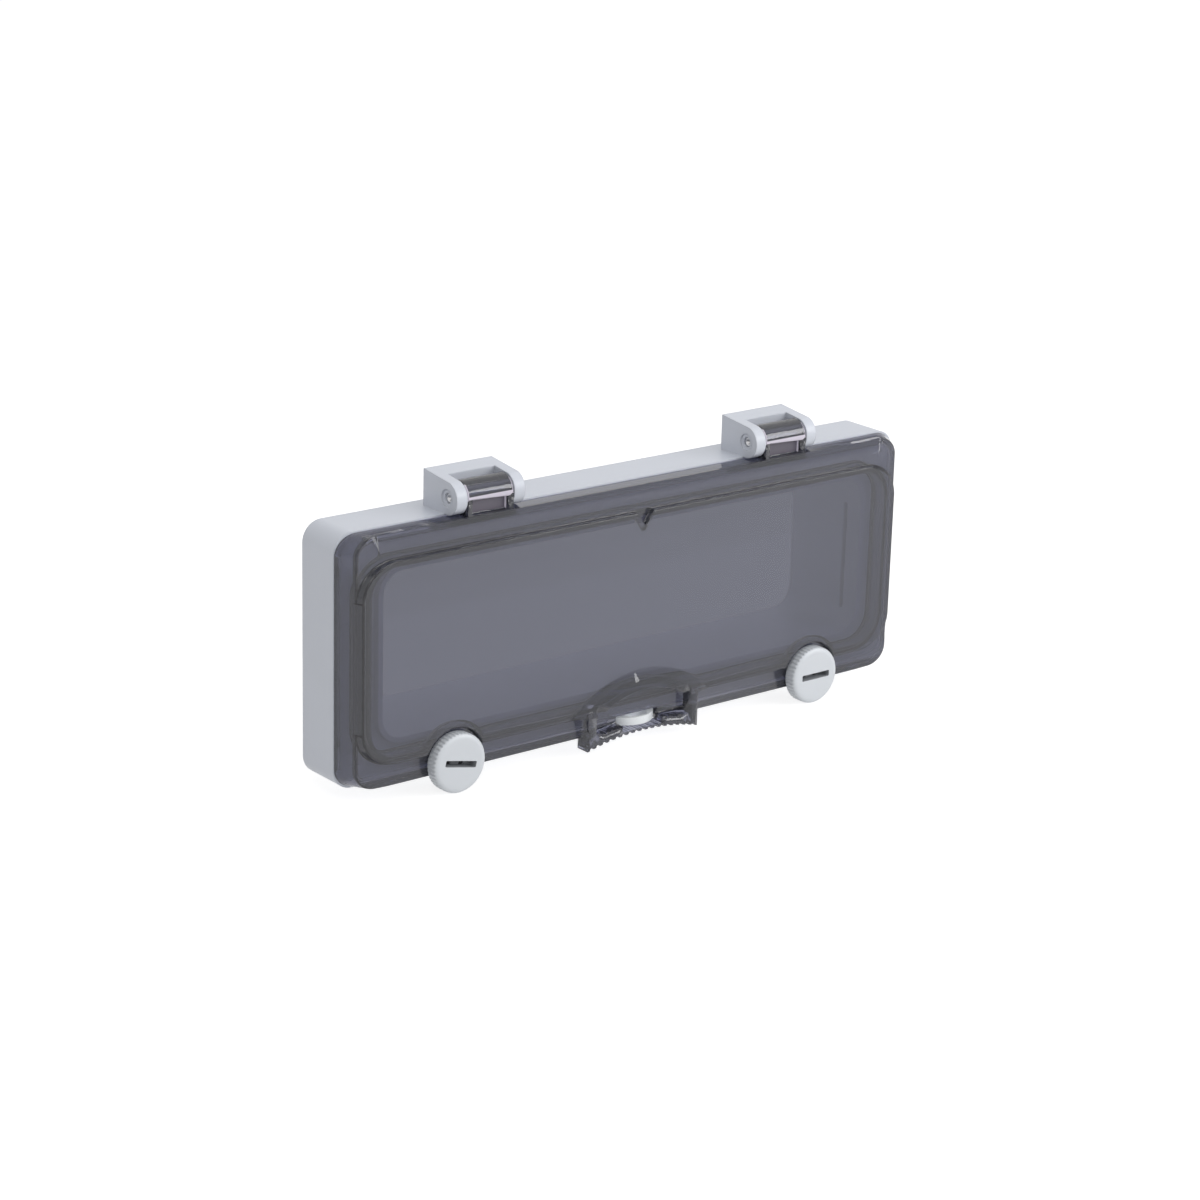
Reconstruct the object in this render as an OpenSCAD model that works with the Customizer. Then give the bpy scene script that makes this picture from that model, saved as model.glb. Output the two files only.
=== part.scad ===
// Hinged smoked window for a row of twelve DIN modules.
// A light-grey base frame screws to a panel, and its collar passes through the panel's cut-out.
// The smoked lid swings up on two pinned hinges and is held shut by two coin-slot knobs.
// Frame: X to the right, Y away from the viewer, Z up. The origin is the centre of the face
// that lies on the panel, so everything in front of the panel has a negative Y.

/* [Base frame] */
// Width of the base frame
frame_w = 274.6; // [240:0.2:330]
// Height of the base frame
frame_h = 98.8; // [90:0.2:130]
// How far the base frame stands in front of the panel
frame_depth = 20.3; // [18:0.1:32]
// Corner radius of the base frame
frame_corner_r = 8; // [6:0.5:15]
// Outer wall of the base frame
frame_wall = 2.5; // [2:0.1:3]
// Thickness of the front flange behind the lid
flange_t = 2.5; // [2:0.1:3.5]
// Height of each drafted hinge block above the frame's top
block_rise = 14.3; // [13:0.1:18]

/* [Module opening] */
// Width of the frame beside the clear opening for the modules
opening_side = 19.3; // [18.4:0.1:50]
// Height of the frame above and below the opening
opening_above = 16.8; // [16.6:0.1:24]
// Corner radius of the opening
opening_r = 9; // [4:0.5:13]
// Wall of the collar round the opening
collar_wall = 2.2; // [1.6:0.1:2.4]
// How far the collar reaches behind the panel face
collar_behind = 18; // [6:0.5:40]
// How far the collar's rim stands in front of the flange
rim_proud = 2.5; // [1:0.1:3.4]
// Height of the module slots in the collar's side walls
module_slot_h = 45; // [30:0.5:45]
// How far the slots' middle lies below the opening's
module_slot_drop = 2.8; // [0:0.1:3.4]
// Width of each module slot
module_slot_w = 2; // [1.5:0.1:3]

/* [Lid] */
// Depth of the lid from the frame's front to the window's face
lid_depth = 10.2; // [9:0.1:14]
// How far the lid's left and right sides lean in over that depth
lid_draft = 6.3; // [2:0.1:7]
// Step from the frame's top and bottom edges to the lid's
lid_step = 0.5; // [0.2:0.1:1]
// Corner radius of the lid
lid_corner_r = 8; // [6:0.5:14]
// Wall of the lid
lid_wall = 2.8; // [2:0.1:3.2]
// Thickness of the window
window_t = 3; // [2:0.1:3.4]
// How far the window block stands in front of the lid's bands
block_step = 2.5; // [1.5:0.1:3]
// Band above the window block
band_top = 10.4; // [9:0.1:14]
// Band below the window block
band_bottom = 8.9; // [8:0.1:10]
// Corner radius of the window block
window_corner_r = 14; // [12:0.5:20]
// Wall round the window block, and depth of its inward step
contour_t = 2.2; // [1.6:0.1:2.6]

/* [Hinges] */
// Distance of each hinge from the frame's side
hinge_inset = 64.8; // [38:0.1:78]
// Width of a hinge block
hinge_w = 31.3; // [27:0.1:40]
// Width of the lid's knuckle
knuckle_w = 20.8; // [16:0.1:21.4]
// Radius of the hinge ears
ear_r = 6.4; // [5.6:0.1:6.5]
// Radius of the hinge pin
pin_r = 2; // [1.5:0.05:2.2]
// Height of the pin above the lid's top
pin_rise = 6.7; // [6.7:0.1:8]
// Distance of the pin in front of the frame's front face
pin_ahead = 1.4; // [0.8:0.1:2.2]

/* [Knobs] */
// Distance of each knob from the frame's side
knob_inset = 48.3; // [30:0.1:56]
// Height of the knob's axis above the lid's bottom edge
knob_rise = 4.2; // [4:0.1:4.8]
// Radius of a knob
knob_r = 11.8; // [9:0.1:13]
// Thickness of a knob
knob_t = 5.6; // [5:0.1:8]
// Ribs round a knob
knob_ribs = 44; // [24:1:56]
// Length of the coin slot
coin_slot_l = 14.4; // [10:0.1:17]
// Width of the coin slot
coin_slot_w = 2.4; // [1.6:0.1:3]
// Turn of the left knob's coin slot
left_knob_turn = -12; // [-90:1:90]
// Radius of the knob's shank
shank_r = 2; // [1.8:0.05:2.1]
// Reach of the latch cam from the knob's axis
cam_reach = 7.4; // [6:0.1:8.5]

/* [Handle and seal tab] */
// Width of the pull lip
lip_w = 55; // [52:0.5:60]
// How far the lip and the hood's cheeks stand in front of the window's face
lip_ahead = 2; // [1:0.1:2.6]
// Depth of the lip's lower edge at its middle, below the lid
lip_drop = 1.2; // [1:0.1:3]
// Radius of the lip's arched lower edge
arch_r = 108; // [90:1:150]
// Height of the lip's front bar
bar_h = 4.2; // [3:0.1:5]
// Grip teeth along the lip
grip_teeth = 17; // [9:2:19]
// Radius of the finger recess under the hood
recess_r = 40; // [36:0.5:44]
// Height of the recess above the lid's bottom edge
recess_rise = 15.9; // [13:0.1:18]
// Width of the hood round the recess
hood_w = 8; // [5:0.1:10]
// How far the hood's rim stands in front of the window's face
hood_ahead = 3; // [1.5:0.1:4]
// Width of the seal tab
tab_w = 18.8; // [14:0.1:19.6]
// Thickness of the seal tab
tab_t = 3.2; // [2:0.1:3.4]
// How far the seal tab stands in front of the window's face
tab_ahead = 0.9; // [0.5:0.1:3]
// Length of the slot in the seal tab
tab_slot_l = 10; // [6:0.1:12]
// Width of the slot in the seal tab
tab_slot_d = 4.6; // [3:0.1:5]

/* [Panel fixing] */
// Distance of the fixing screws from the frame's sides
fix_inset_x = 8.8; // [8:0.1:10]
// Distance of the fixing screws from the frame's top and bottom
fix_inset_z = 8.9; // [8:0.1:10]
// Radius of the fixing screws
fix_r = 2; // [1.5:0.05:2.1]
// How far the fixing screws reach behind the panel face
fix_behind = 7.5; // [6:0.5:8.5]
// Thickness of the seal against the panel
panel_seal_t = 3.2; // [2:0.1:5]
// Width of the seal against the panel
panel_seal_w = 5.4; // [3:0.1:6]

/* [Hidden] */

$fn = 64;
EPS = 0.01;              // overlap of a cut past the face it opens
GAP = 0.3;               // air between the lid and the fixed parts
RUN_FIT = 0.05;          // radial play of the knuckle on its pin

GREY = [0.80, 0.81, 0.82];
KNOB_GREY = [0.84, 0.86, 0.87];
TAB_WHITE = [0.93, 0.94, 0.94];
SMOKED = [0.28, 0.28, 0.31, 0.55];
RUBBER = [0.16, 0.16, 0.17];
STEEL = [0.70, 0.71, 0.72];

// Clear opening
opening_w = frame_w - 2 * opening_side;
opening_h = frame_h - 2 * opening_above;

// Planes, from the panel towards the viewer
front_y = -frame_depth;
lid_rear_y = front_y - GAP;
window_y = front_y - lid_depth;
band_y = window_y + block_step;
flange_back_y = front_y + flange_t;

// Heights of the lid
lid_top = frame_h / 2 - lid_step;
block_top = lid_top - band_top;
block_bottom = band_bottom - lid_top;
block_mid = (block_top + block_bottom) / 2;
block_h = block_top - block_bottom;

// Draft of the lid's sides
tilt = atan(lid_draft / lid_depth);
side_wall = lid_wall / cos(tilt);
function lid_half(y) = frame_w / 2 - lid_draft * (front_y - y) / lid_depth;

// Window block inside, and the sealing rib that stands on its edge
clear_half = lid_half(band_y) - side_wall - 2.4;
rib_t = 2;
rib_end_y = front_y - 1.6;

// Seal of the lid in the flange
seal_w = 3;
seal_side = 0.2;         // side play of the seal in its channel
seal_floor_y = front_y + 3;
seal_front_y = front_y + 0.2;
seal_neck = 0.6;         // how far the lip's sides stand in from the seal's
seal_play = 0.3;         // air between the seal's lip and the rib's end
channel_wall = 1.2;
seal_shift = rib_t / 2 + seal_w / 2;

// Hinges
hinge_x = frame_w / 2 - hinge_inset;
pin_y = front_y - pin_ahead;
pin_z = lid_top + pin_rise;
knuckle_r = ear_r - 0.2;
notch_half = knuckle_w / 2 + 0.4;
notch_r = knuckle_r + 0.4;
hinge_block_top = frame_h / 2 + block_rise;
hinge_block_depth = 15;
pin_recess = 1.1;
ear_dimple_r = 3.4;
ear_dimple_t = 0.5;

// Knobs and what holds them
knob_x = frame_w / 2 - knob_inset;
knob_z = knob_rise - lid_top;
knob_back_y = band_y - GAP;
scallop_r = knob_r + 1.4;
o_ring_r = 0.85;
o_ring_squeeze = 0.2;    // how far the ring stands out of the knob's back
o_ring_mid_r = shank_r + 0.2 + o_ring_r;
o_ring_seat_r = o_ring_mid_r + o_ring_r + 0.3;
knob_boss_r = 5;
knob_boss_y = band_y + lid_wall + 1;
retainer_y = knob_boss_y + GAP;
retainer_t = 0.7;
retainer_r = shank_r + 1;
retainer_groove_r = shank_r - 0.4;
retainer_mouth = 2.6;

// Latch cams behind the flange, and the keyholes that let them out with the lid
latch_back_y = front_y + 5;
cam_y = latch_back_y + GAP;
cam_t = 2.4;
cam_hub_r = 2.6;
cam_half = 1.5;
cam_screw_r = 1;
cam_screw_head_r = 1.9;
cam_screw_head_t = 1.6;
cam_screw_l = 6;
keyhole_r = cam_hub_r + 0.7;
keyhole_half = cam_half + 0.7;
keyhole_reach = cam_reach + 0.5;

// Hood, recess and pull lip; heights below are measured from the middle
recess_rim_z = recess_rise - lid_top;
recess_z = recess_rim_z - recess_r;
recess_back_t = 2.4;
hood_r = recess_r + hood_w;
cheek_t = 4;
cheek_top = block_bottom + 2;
lip_front_y = window_y - lip_ahead;
lip_back_y = band_y + 2;
lip_plate_y = band_y - 0.3;
arch_top = -lid_top - lip_drop;
arch_z = arch_top - arch_r;
lip_top = -lid_top + 2.9;
tooth_r = 0.9;

// Seal tab
tab_z = 2.7 - lid_top;
tab_front_y = window_y - tab_ahead;
tab_round_r = tab_w / 2 + 2.3;
tab_root_w = tab_w - 4.8;
tab_root_y = front_y + 7;
tab_hole_y = tab_front_y + tab_slot_d / 2 + 1.5;
tab_way_w = tab_w + 2;
tab_way_top = tab_z + tab_t / 2 + 0.8;
tab_way_bottom = tab_z - tab_t / 2 - 1.2;

// Fixing screws
fix_x = frame_w / 2 - fix_inset_x;
fix_z = frame_h / 2 - fix_inset_z;
fix_seat_y = front_y + 4.4;
fix_neck_r = fix_r - 0.4;
fix_head_r = fix_r * 1.9;
fix_head_t = 2.3;
cap_t = 1.1;
cap_slot_l = 4;
cap_slot_w = 0.9;
washer_r = fix_head_r + 0.5;
washer_t = 0.8;
fix_well_r = washer_r + 0.3;
fix_boss_r = fix_r + 2.4;

// Seal against the panel
collar_w = opening_w + 2 * collar_wall;
collar_h = opening_h + 2 * collar_wall;
collar_r = opening_r + collar_wall;
panel_seal_gap = 0.1;
shelf_w = panel_seal_w + 2 * panel_seal_gap;
shelf_lip = 1.3;
shelf_y = -panel_seal_t;

// Stiffening ribs between the collar and the outer wall, and the module slots
rib_reach_x = knob_x + 11;
rib_pitch_z = frame_h / 5.489;
rib_half = 0.8;
module_slot_y = front_y + 5;
module_slot_t = collar_wall + 0.6;

// A rounded rectangle across X and Z, from y0 back to y1.
module slab(w, h, r, y0, y1) {
    translate([0, y1, 0])
        rotate([90, 0, 0])
            linear_extrude(y1 - y0) {
                square([w - 2 * r, h], center = true);
                square([w, h - 2 * r], center = true);
                for (sx = [-1, 1], sz = [-1, 1])
                    translate([sx * (w / 2 - r), sz * (h / 2 - r)])
                        circle(r);
            }
}

// The frame between a rounded rectangle and the one that lies t inside it.
module slab_ring(w, h, r, t, y0, y1) {
    difference() {
        slab(w, h, r, y0, y1);
        slab(w - 2 * t, h - 2 * t, r - t, y0 - EPS, y1 + EPS);
    }
}

// A round bar along Y, from y0 back to y1.
module rod(r, x, z, y0, y1) {
    translate([x, y1, z])
        rotate([90, 0, 0])
            cylinder(r = r, h = y1 - y0);
}

// A box between two corners.
module box(low, high) {
    translate(low)
        cube(high - low);
}

// A prism between z0 and z1 whose sides lean like the lid's, set in from them.
module wedge(inset, z0, z1, y0, y1) {
    translate([0, 0, z0])
        linear_extrude(z1 - z0)
            polygon([
                [inset - lid_half(y0), y0], [lid_half(y0) - inset, y0],
                [lid_half(y1) - inset, y1], [inset - lid_half(y1), y1],
            ]);
}

// A slab whose sides lean like the lid's and whose corners are round along that lean.
module drafted_slab(inset, z0, z1, r, y0, y1) {
    corner = inset + r / cos(tilt);
    mid_y = (y0 + y1) / 2;
    wedge(inset, z0 + r, z1 - r, y0, y1);
    wedge(corner, z0, z1, y0, y1);
    for (s = [-1, 1], z = [z0 + r, z1 - r])
        intersection() {
            translate([s * (lid_half(mid_y) - corner), mid_y, z])
                rotate([90, 0, -s * tilt])
                    cylinder(r = r, h = 4 * (y1 - y0) + 4 * r, center = true);
            box([-frame_w, y0, -frame_h], [frame_w, y1, frame_h]);
        }
}

// ---- Base frame ----

// Side view of a hinge block: a barrel round the pin and a body that falls towards it.
module hinge_block_side() {
    rear_y = pin_y + hinge_block_depth;
    translate([pin_y, pin_z])
        circle(ear_r);
    polygon([
        [pin_y, pin_z + ear_r], [rear_y, hinge_block_top], [rear_y, frame_h / 2 - frame_wall],
        [front_y, frame_h / 2 - frame_wall], [front_y, pin_z],
        [pin_y, pin_z],
    ]);
}

// One hinge block with its slot for the knuckle and its pin hole.
module hinge_block(x) {
    translate([x, 0, 0])
        difference() {
            rotate([90, 0, 90])
                linear_extrude(hinge_w, center = true)
                    hinge_block_side();
            rotate([0, 90, 0])
                translate([-pin_z, pin_y, 0]) {
                    cylinder(r = notch_r, h = 2 * notch_half, center = true);
                    cylinder(r = pin_r, h = hinge_w + 1, center = true);
                    for (s = [-1, 1])
                        translate([0, 0, s * hinge_w / 2])
                            cylinder(r = ear_dimple_r, h = 2 * ear_dimple_t, center = true);
                }
            box([-notch_half, pin_y - 2 * ear_r, frame_h / 2], [notch_half, front_y, hinge_block_top + 1]);
            box([-notch_half, pin_y - ear_r, pin_z], [notch_half, pin_y + notch_r, hinge_block_top + 1]);
        }
}

// The screw bosses in the corners, wide at the front for the screw's head.
module fixing_bosses() {
    for (sx = [-1, 1], sz = [-1, 1]) {
        rod(fix_boss_r, sx * fix_x, sz * fix_z, front_y, 0);
        rod(fix_well_r + 1.4, sx * fix_x, sz * fix_z, front_y, fix_seat_y + 2.4);
    }
}

// Thin ribs between the collar and the outer wall.
module stiffening_ribs() {
    rib_back = shelf_y - 4;
    for (i = [-1:0.4:1], s = [-1, 1])
        box([i * rib_reach_x - rib_half, front_y + 1, s > 0 ? collar_h / 2 - 0.5 : -frame_h / 2 + 1],
            [i * rib_reach_x + rib_half, rib_back, s > 0 ? frame_h / 2 - 1 : -collar_h / 2 + 0.5]);
    for (i = [-1:1], s = [-1, 1])
        box([s > 0 ? collar_w / 2 - 0.5 : -frame_w / 2 + 1, front_y + 1, i * rib_pitch_z - rib_half],
            [s > 0 ? frame_w / 2 - 1 : -collar_w / 2 + 0.5, rib_back, i * rib_pitch_z + rib_half]);
}

// Everything that the base frame is made of before it is opened and drilled.
module base_solid() {
    difference() {
        slab(frame_w, frame_h, frame_corner_r, front_y, 0);
        slab(frame_w - 2 * frame_wall, frame_h - 2 * frame_wall, frame_corner_r - frame_wall,
            flange_back_y, 1);
    }
    slab(collar_w, collar_h, collar_r, front_y - rim_proud, collar_behind);
    slab(collar_w + 2 * shelf_w + 2 * shelf_lip, collar_h + 2 * shelf_w + 2 * shelf_lip,
        collar_r + shelf_w + shelf_lip, shelf_y - 2.2, shelf_y + panel_seal_t / 2);
    translate([0, 0, block_mid])
        slab_ring(2 * (clear_half + seal_shift + seal_side + channel_wall) + rib_t,
            block_h - 2 * contour_t + 2 * (seal_shift + seal_side + channel_wall) + rib_t,
            window_corner_r + 2, seal_w + 2 * seal_side + 2 * channel_wall,
            front_y, seal_floor_y + 1.8);
    fixing_bosses();
    for (s = [-1, 1]) {
        box([s * knob_x - keyhole_reach - 1.8, front_y, 1 - frame_h / 2],
            [s * knob_x + keyhole_r + 1.8, latch_back_y, knob_z + keyhole_r + 2]);
        hinge_block(s * hinge_x);
    }
    box([-tab_root_w / 2 - 2, front_y, tab_z - tab_t / 2 - 1.4],
        [tab_root_w / 2 + 2, tab_root_y + 1.5, tab_z + tab_t / 2 + 1.8]);
    stiffening_ribs();
}

// The keyhole that a latch cam leaves through when the lid swings up.
module keyhole(x) {
    rod(keyhole_r, x, knob_z, front_y - 1, cam_y + cam_t + cam_screw_head_t + 1);
    box([x - keyhole_reach, front_y - 1, knob_z - keyhole_half],
        [x, latch_back_y + 1, knob_z + keyhole_half]);
}

// Channel that holds the lid's seal; grow widens it on both sides.
module seal_ring(grow, y0, y1) {
    w = seal_w + 2 * grow;
    translate([0, 0, block_mid])
        slab_ring(2 * clear_half + rib_t + w, block_h - 2 * contour_t + rib_t + w,
            window_corner_r - contour_t + rib_t / 2 + w / 2, w, y0, y1);
}

module base_frame() {
    color(GREY)
        difference() {
            base_solid();
            // opening for the modules
            slab(opening_w, opening_h, opening_r, front_y - rim_proud - 1, collar_behind + 1);
            // channel for the panel seal, open to the rear
            difference() {
                slab(collar_w + 2 * shelf_w, collar_h + 2 * shelf_w, collar_r + shelf_w, shelf_y, 1);
                slab(collar_w, collar_h, collar_r, shelf_y - 1, 2);
            }
            seal_ring(seal_side, front_y - 1, seal_floor_y);
            for (sx = [-1, 1], sz = [-1, 1]) {
                rod(fix_r + 0.25, sx * fix_x, sz * fix_z, front_y - 1, 1);
                rod(fix_well_r, sx * fix_x, sz * fix_z, front_y - 1, fix_seat_y);
            }
            for (s = [-1, 1]) {
                keyhole(s * knob_x);
                // module slots in the side walls
                translate([s * opening_w / 2, module_slot_y + module_slot_w / 2, -module_slot_drop])
                    cube([2 * module_slot_t, module_slot_w, module_slot_h], center = true);
            }
            box([-tab_root_w / 2, front_y - 1, tab_z - tab_t / 2 + 0.2],
                [tab_root_w / 2, tab_root_y, tab_z + tab_t / 2 - 0.2]);
        }
}

module panel_gasket() {
    color(RUBBER)
        slab_ring(collar_w + 2 * panel_seal_w + 2 * panel_seal_gap,
            collar_h + 2 * panel_seal_w + 2 * panel_seal_gap,
            collar_r + panel_seal_w + panel_seal_gap, panel_seal_w, shelf_y, 0);
}

module lid_gasket() {
    color(RUBBER) {
        seal_ring(0, seal_front_y, seal_floor_y);
        seal_ring(-seal_neck, rib_end_y + seal_play, seal_front_y);
    }
}

// The tab that stands through the lid's scoop and takes a seal or a small padlock.
module seal_tab() {
    color(TAB_WHITE)
        difference() {
            union() {
                translate([0, 0, tab_z - tab_t / 2])
                    linear_extrude(tab_t)
                        intersection() {
                            translate([-tab_w / 2, tab_front_y])
                                square([tab_w, front_y - tab_front_y]);
                            union() {
                                translate([0, tab_front_y + tab_round_r])
                                    circle(tab_round_r);
                                translate([-tab_w / 2, tab_front_y + tab_round_r])
                                    square([tab_w, frame_depth]);
                            }
                        }
                box([-tab_root_w / 2, front_y - 1, tab_z - tab_t / 2 + 0.2],
                    [tab_root_w / 2, tab_root_y, tab_z + tab_t / 2 - 0.2]);
            }
            translate([0, tab_hole_y, tab_z - tab_t])
                linear_extrude(2 * tab_t) {
                    square([tab_slot_l - tab_slot_d, tab_slot_d], center = true);
                    for (s = [-1, 1])
                        translate([s * (tab_slot_l - tab_slot_d) / 2, 0])
                            circle(tab_slot_d / 2);
                }
        }
}

// ---- Panel fixing ----

// Captive pan-head screw with a cross recess; its neck inside the frame is slimmer.
module fixing_screw() {
    head_y = fix_seat_y - washer_t;
    difference() {
        union() {
            rod(fix_neck_r, 0, 0, head_y - 0.5, 1);
            rod(fix_r, 0, 0, 0, fix_behind);
            translate([0, head_y, 0])
                rotate([90, 0, 0])
                    rotate_extrude()
                        polygon([
                            [0, 0], [fix_head_r, 0], [fix_head_r, 0.6 * fix_head_t],
                            [fix_head_r - 0.8, fix_head_t], [0, fix_head_t],
                        ]);
        }
        for (a = [0, 90])
            translate([0, head_y - fix_head_t, 0])
                rotate([0, a, 0])
                    cube([1.2 * fix_head_r, 3, 0.8], center = true);
    }
}

module mounting_screws() {
    color(STEEL)
        for (sx = [-1, 1], sz = [-1, 1])
            translate([sx * fix_x, 0, sz * fix_z])
                fixing_screw();
}

module mounting_washers() {
    color(RUBBER)
        for (sx = [-1, 1], sz = [-1, 1])
            difference() {
                rod(washer_r, sx * fix_x, sz * fix_z, fix_seat_y - washer_t, fix_seat_y);
                rod(fix_neck_r, sx * fix_x, sz * fix_z, fix_seat_y - 2 * washer_t, fix_seat_y + 1);
            }
}

// Flush plugs that cover the screw heads, each with a slot to prise it out.
module screw_caps() {
    color(KNOB_GREY)
        for (sx = [-1, 1], sz = [-1, 1])
            difference() {
                rod(fix_well_r, sx * fix_x, sz * fix_z, front_y, front_y + cap_t);
                translate([sx * fix_x, front_y, sz * fix_z])
                    cube([cap_slot_l, cap_t, cap_slot_w], center = true);
            }
}

// ---- Lid ----

// The lid's outer form: a drafted body and the window block that stands in front of it.
module lid_envelope() {
    drafted_slab(0, -lid_top, lid_top, lid_corner_r, band_y, lid_rear_y);
    drafted_slab(0, block_bottom, block_top, window_corner_r, window_y, band_y + lid_wall / 2);
}

// The hollow behind the bands and the deeper one behind the window.
module lid_hollow() {
    drafted_slab(side_wall, lid_wall - lid_top, lid_top - lid_wall, lid_corner_r - lid_wall,
        band_y + lid_wall, lid_rear_y + 1);
    translate([0, 0, block_mid])
        slab(2 * clear_half, block_h - 2 * contour_t, window_corner_r - contour_t,
            window_y + window_t, band_y + lid_wall + EPS);
}

// The rib that follows the window block and presses on the seal.
module seal_rib() {
    translate([0, 0, block_mid])
        slab_ring(2 * clear_half + 2 * rib_t, block_h - 2 * contour_t + 2 * rib_t,
            window_corner_r - contour_t + rib_t, rib_t, window_y + window_t - 1, rib_end_y);
}

// The raised hood round the finger recess; it rises from the window's face to the recess's rim.
module hood() {
    intersection() {
        translate([0, window_y, recess_z])
            rotate([90, 0, 0])
                cylinder(r1 = hood_r, r2 = recess_r, h = hood_ahead, $fn = 128);
        box([-hood_r, window_y - 2 * hood_ahead, block_bottom], [hood_r, window_y, 0]);
    }
}

// The small V at the middle of the window block's top edge.
module top_notch(half_w, drop, y1) {
    translate([0, y1, 0])
        rotate([90, 0, 0])
            linear_extrude(y1 - window_y + 1)
                polygon([
                    [-half_w, block_top + 1], [half_w, block_top + 1],
                    [0.6, block_top - drop], [-0.6, block_top - drop],
                ]);
}

// Walls behind the recess, the knob scallops and the notch.
module lid_backing() {
    intersection() {
        lid_envelope();
        union() {
            rod(recess_r + recess_back_t, 0, recess_z, window_y, band_y + recess_back_t, $fn = 128);
            for (s = [-1, 1])
                rod(scallop_r + contour_t, s * knob_x, knob_z, window_y, band_y + lid_wall);
            top_notch(6.6, 7.6, band_y + lid_wall);
        }
    }
    for (s = [-1, 1])
        intersection() {
            rod(knob_boss_r, s * knob_x, knob_z, band_y + 1, knob_boss_y);
            box([-frame_w, window_y, 1 - lid_top], [frame_w, 0, 0]);
        }
}

// Side view of a knuckle: the barrel round the pin and the arm down to the lid.
module knuckle_side() {
    translate([pin_y, pin_z])
        circle(knuckle_r);
    translate([pin_y - knuckle_r, lid_top - lid_wall])
        square([knuckle_r + lid_rear_y - pin_y, pin_z - lid_top + lid_wall]);
}

// A knuckle with a cored pocket in its front, framed by two side ribs.
module knuckle() {
    rib = 1.9;
    difference() {
        rotate([90, 0, 90])
            linear_extrude(knuckle_w, center = true)
                knuckle_side();
        box([rib - knuckle_w / 2, pin_y - 2 * knuckle_r, lid_top + 0.2],
            [knuckle_w / 2 - rib, pin_y - pin_r - 1.7, pin_z - 0.6]);
    }
}

// The pull lip: a plate below the lid, two cheeks and an arched bar with grip teeth.
module pull_lip() {
    half = lip_w / 2;
    end_z = arch_z + sqrt(arch_r * arch_r - half * half);
    difference() {
        union() {
            box([-half, lip_plate_y, end_z], [half, lip_back_y, lip_top]);
            intersection() {
                rod(arch_r + bar_h, 0, arch_z, lip_front_y, lip_back_y, $fn = 256);
                box([-half, lip_front_y, end_z], [half, lip_back_y, 0]);
            }
            for (s = [-1, 1])
                box([s > 0 ? half - cheek_t : -half, lip_front_y, end_z],
                    [s > 0 ? half : cheek_t - half, lip_back_y, cheek_top]);
        }
        rod(arch_r, 0, arch_z, lip_front_y - 1, 0, $fn = 256);
        for (i = [0:grip_teeth - 1]) {
            a = (i - (grip_teeth - 1) / 2) * 2 * asin((half - 2) / arch_r) / (grip_teeth - 1);
            rod(tooth_r, arch_r * sin(a), arch_z + arch_r * cos(a), lip_front_y - 1, lip_back_y + 1, $fn = 24);
        }
    }
}

module lid() {
    color(SMOKED)
        difference() {
            union() {
                difference() {
                    lid_envelope();
                    lid_hollow();
                }
                seal_rib();
                lid_backing();
                hood();
                for (s = [-1, 1])
                    translate([s * hinge_x, 0, 0])
                        knuckle();
                pull_lip();
            }
            // finger recess under the hood
            intersection() {
                rod(recess_r, 0, recess_z, window_y - 2 * hood_ahead, band_y, $fn = 128);
                box([-frame_w, -frame_h, cheek_top], [frame_w, 0, 0]);
            }
            box([cheek_t - lip_w / 2, -frame_h, lip_top], [lip_w / 2 - cheek_t, band_y, cheek_top]);
            top_notch(4.4, 5, band_y);
            for (s = [-1, 1]) {
                rod(scallop_r, s * knob_x, knob_z, window_y - 1, band_y);
                rod(shank_r + RUN_FIT, s * knob_x, knob_z, window_y - 1, 0);
                rod(retainer_r + GAP, s * knob_x, knob_z, knob_boss_y, 0);
            }
            translate([0, pin_y, pin_z])
                rotate([0, 90, 0])
                    cylinder(r = pin_r + RUN_FIT, h = frame_w, center = true);
            // way through for the seal tab
            box([-tab_way_w / 2, lip_front_y - 1, tab_way_bottom], [tab_way_w / 2, 0, tab_way_top]);
        }
}

// ---- Hinge pins ----

// A steel pin with bevelled ends, sunk a little into both ears.
module hinge_pin(x) {
    half = hinge_w / 2 - pin_recess;
    color(STEEL)
        translate([x, pin_y, pin_z])
            rotate([0, 90, 0])
                rotate_extrude()
                    polygon([
                        [0, -half], [pin_r - 0.4, -half], [pin_r, 0.4 - half],
                        [pin_r, half - 0.4], [pin_r - 0.4, half], [0, half],
                    ]);
}

// ---- Knobs ----

// A ribbed knob with a bevelled face, a coin slot and a shank; turn swings the slot.
module knob(x, turn) {
    shank_l = cam_y - knob_back_y;
    color(KNOB_GREY)
        translate([x, knob_back_y, knob_z])
            rotate([90, 0, 0])
                rotate([0, 0, turn])
                    difference() {
                        union() {
                            rotate_extrude()
                                polygon([
                                    [0, 0], [knob_r - 0.5, 0], [knob_r, 0.5], [knob_r, knob_t - 1.5],
                                    [knob_r - 1.3, knob_t - 0.3], [knob_r - 2.3, knob_t], [0, knob_t],
                                ]);
                            translate([0, 0, -shank_l])
                                cylinder(r = shank_r, h = shank_l + 1);
                        }
                        for (i = [0:knob_ribs - 1])
                            rotate([0, 0, i * 360 / knob_ribs])
                                translate([knob_r + 0.15, 0, -1])
                                    cylinder(r = 0.5, h = knob_t + 2, $fn = 24);
                        translate([0, 0, knob_t])
                            cube([coin_slot_l, coin_slot_w, 4.4], center = true);
                        o_ring_seat();
                        shank_groove();
                        translate([0, 0, -shank_l - EPS])
                            cylinder(r = cam_screw_r, h = cam_screw_l + 0.5);
                    }
}

// The seat round the shank in the knob's back.
module o_ring_seat() {
    difference() {
        translate([0, 0, -EPS])
            cylinder(r = o_ring_seat_r, h = 2 * o_ring_r - o_ring_squeeze + EPS);
        translate([0, 0, -1])
            cylinder(r = shank_r, h = 4);
    }
}

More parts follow.
